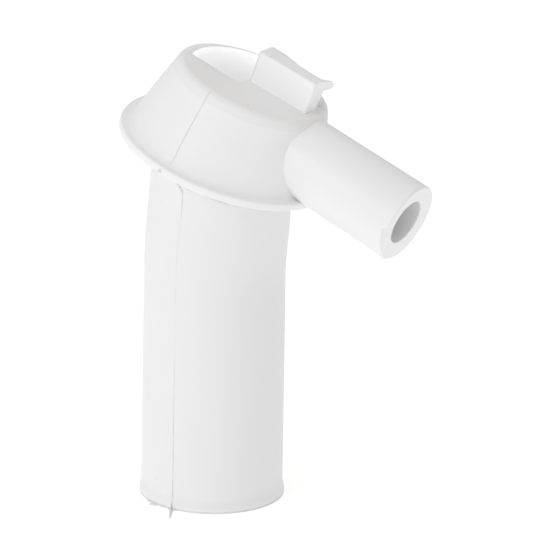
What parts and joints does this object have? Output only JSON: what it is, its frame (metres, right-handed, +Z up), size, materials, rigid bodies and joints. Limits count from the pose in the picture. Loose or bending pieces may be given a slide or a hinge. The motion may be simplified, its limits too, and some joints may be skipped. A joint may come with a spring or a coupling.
{
  "type": "water fill tube with a side inlet",
  "caption": "Upright fill tube with a tilted sealing flange, a tapered cap with an open quarter and a barbed hook tab, and a downward side inlet nozzle.",
  "frame": {"origin": "centre of the bounding box's footprint, on the plane that the tube's lower end stands on", "axes": "+Z up along the fill tube, +X towards the inlet nozzle, +Y towards the hook's nose"},
  "size_m": [0.0502, 0.0342, 0.0721],
  "materials": {
    "white_elastomer": "satin soft moulded skin"
  },
  "bodies": {
    "root": {"fill_tube": "white_elastomer", "seal_flange": "white_elastomer", "head_shell": "white_elastomer", "top_plate": "white_elastomer", "hook_tab": "white_elastomer", "inlet_nozzle": "white_elastomer"}
  },
  "joints": []
}
